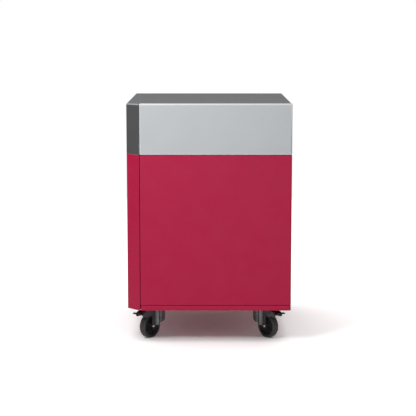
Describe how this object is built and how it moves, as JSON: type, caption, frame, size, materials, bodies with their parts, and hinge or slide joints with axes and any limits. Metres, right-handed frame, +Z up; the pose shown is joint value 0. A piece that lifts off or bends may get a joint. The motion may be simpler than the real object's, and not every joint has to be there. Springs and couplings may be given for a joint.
{
  "type": "metal filing cabinet",
  "caption": "Mobile steel filing pedestal: shallow box drawer over a tall file drawer, plain handleless fronts, one chamfered corner, swivel casters with front brakes.",
  "frame": {"origin": "on the floor, under the centre of the cabinet's plan", "axes": "+Z up; +X to the cabinet's right when facing its fronts from -Y; the drawer fronts face -Y and the drawers open towards -Y"},
  "size_m": [0.4, 0.45, 0.585],
  "materials": {
    "crimson_paint": "smooth satin powder coat",
    "graphite_paint": "smooth satin powder coat",
    "silver_paint": "smooth satin silver-grey coat",
    "drawer_paint": "fine matt powder coat",
    "zinc_plate": "bright zinc plating",
    "ballast_iron": "as cast",
    "black_plastic": "moulded, fine texture",
    "plunger_plastic": "moulded",
    "buffer_rubber": "matt",
    "fork_steel": "black-passivated, soft sheen",
    "axle_steel": "bright",
    "tread_rubber": "matt moulded tread"
  },
  "bodies": {
    "cabinet": {"lower_shell": "crimson_paint", "upper_shell": "graphite_paint", "lower_back_panel": "crimson_paint", "upper_back_panel": "graphite_paint", "base_plate": "zinc_plate", "plinth_strip": "crimson_paint", "left_liner": "zinc_plate", "right_liner": "zinc_plate", "front_cross_rail": "zinc_plate", "ballast_block": "ballast_iron", "upper_fixed_rail_left": "zinc_plate", "upper_fixed_rail_right": "zinc_plate", "lower_fixed_rail_left": "zinc_plate", "lower_fixed_rail_right": "zinc_plate", "caster_plates": "zinc_plate", "caster_kingpins": "zinc_plate", "caster_screws": "zinc_plate", "frame_screws": "zinc_plate", "latch_bodies": "black_plastic", "front_buffers": "buffer_rubber"},
    "upper_drawer": {"upper_front_skin": "silver_paint", "upper_front_pan": "silver_paint", "tray": "drawer_paint", "tray_back": "drawer_paint", "upper_inner_rail_left": "zinc_plate", "upper_inner_rail_right": "zinc_plate", "pen_tray": "black_plastic", "upper_drawer_screws": "zinc_plate"},
    "upper_runners": {"upper_middle_rail_left": "zinc_plate", "upper_middle_rail_right": "zinc_plate"},
    "lower_drawer": {"lower_front_skin": "crimson_paint", "lower_front_pan": "crimson_paint", "file_box": "drawer_paint", "file_box_back": "drawer_paint", "lower_inner_rail_left": "zinc_plate", "lower_inner_rail_right": "zinc_plate", "file_bars": "zinc_plate", "lower_drawer_screws": "zinc_plate"},
    "lower_runners": {"lower_middle_rail_left": "zinc_plate", "lower_middle_rail_right": "zinc_plate"},
    "upper_latch": {"upper_plunger": "plunger_plastic"},
    "lower_latch": {"lower_plunger": "plunger_plastic"},
    "front_left_caster": {"front_left_fork": "fork_steel", "front_left_axle": "axle_steel"},
    "front_left_wheel": {"front_left_hub": "black_plastic", "front_left_tyre": "tread_rubber"},
    "front_left_brake": {"front_left_pedal": "black_plastic"},
    "front_right_caster": {"front_right_fork": "fork_steel", "front_right_axle": "axle_steel"},
    "front_right_wheel": {"front_right_hub": "black_plastic", "front_right_tyre": "tread_rubber"},
    "front_right_brake": {"front_right_pedal": "black_plastic"},
    "rear_left_caster": {"rear_left_fork": "fork_steel", "rear_left_axle": "axle_steel"},
    "rear_left_wheel": {"rear_left_hub": "black_plastic", "rear_left_tyre": "tread_rubber"},
    "rear_right_caster": {"rear_right_fork": "fork_steel", "rear_right_axle": "axle_steel"},
    "rear_right_wheel": {"rear_right_hub": "black_plastic", "rear_right_tyre": "tread_rubber"}
  },
  "joints": [
    {"name": "upper_drawer_slide", "type": "slide", "parent": "cabinet", "child": "upper_drawer", "axis": [0, -1, 0], "range_m": [0, 0.34]},
    {"name": "upper_runner_slide", "type": "slide", "parent": "cabinet", "child": "upper_runners", "axis": [0, -1, 0], "range_m": [0, 0.17]},
    {"name": "lower_drawer_slide", "type": "slide", "parent": "cabinet", "child": "lower_drawer", "axis": [0, -1, 0], "range_m": [0, 0.34]},
    {"name": "lower_runner_slide", "type": "slide", "parent": "cabinet", "child": "lower_runners", "axis": [0, -1, 0], "range_m": [0, 0.17]},
    {"name": "upper_latch_press", "type": "slide", "parent": "cabinet", "child": "upper_latch", "axis": [0, 1, 0], "range_m": [0, 0.004], "stiffness_N_per_m": 400, "springref_m": -0.004},
    {"name": "lower_latch_press", "type": "slide", "parent": "cabinet", "child": "lower_latch", "axis": [0, 1, 0], "range_m": [0, 0.004], "stiffness_N_per_m": 400, "springref_m": -0.004},
    {"name": "front_left_swivel", "type": "hinge", "parent": "cabinet", "child": "front_left_caster", "pos_m": [-0.133, -0.15, 0.07], "axis": [0, 0, 1], "continuous": true},
    {"name": "front_left_roll", "type": "hinge", "parent": "front_left_caster", "child": "front_left_wheel", "pos_m": [-0.14714, -0.16685, 0.03], "axis": [0.766, -0.6428, 0], "continuous": true},
    {"name": "front_left_brake_press", "type": "hinge", "parent": "front_left_caster", "child": "front_left_brake", "pos_m": [-0.15485, -0.17605, 0.0665], "axis": [0.766, -0.6428, 0], "range_deg": [0, 5]},
    {"name": "front_right_swivel", "type": "hinge", "parent": "cabinet", "child": "front_right_caster", "pos_m": [0.133, -0.15, 0.07], "axis": [0, 0, 1], "continuous": true},
    {"name": "front_right_roll", "type": "hinge", "parent": "front_right_caster", "child": "front_right_wheel", "pos_m": [0.14714, -0.16685, 0.03], "axis": [0.766, 0.6428, 0], "continuous": true},
    {"name": "front_right_brake_press", "type": "hinge", "parent": "front_right_caster", "child": "front_right_brake", "pos_m": [0.15485, -0.17605, 0.0665], "axis": [0.766, 0.6428, 0], "range_deg": [0, 5]},
    {"name": "rear_left_swivel", "type": "hinge", "parent": "cabinet", "child": "rear_left_caster", "pos_m": [-0.133, 0.15, 0.07], "axis": [0, 0, 1], "continuous": true},
    {"name": "rear_left_roll", "type": "hinge", "parent": "rear_left_caster", "child": "rear_left_wheel", "pos_m": [-0.1423, 0.16994, 0.03], "axis": [-0.9063, -0.4226, 0], "continuous": true},
    {"name": "rear_right_swivel", "type": "hinge", "parent": "cabinet", "child": "rear_right_caster", "pos_m": [0.133, 0.15, 0.07], "axis": [0, 0, 1], "continuous": true},
    {"name": "rear_right_roll", "type": "hinge", "parent": "rear_right_caster", "child": "rear_right_wheel", "pos_m": [0.1423, 0.16994, 0.03], "axis": [-0.9063, 0.4226, 0], "continuous": true}
  ],
  "couplings": [
    {"joint": "upper_runner_slide", "follows": "upper_drawer_slide", "ratio": 0.5},
    {"joint": "lower_runner_slide", "follows": "lower_drawer_slide", "ratio": 0.5}
  ]
}
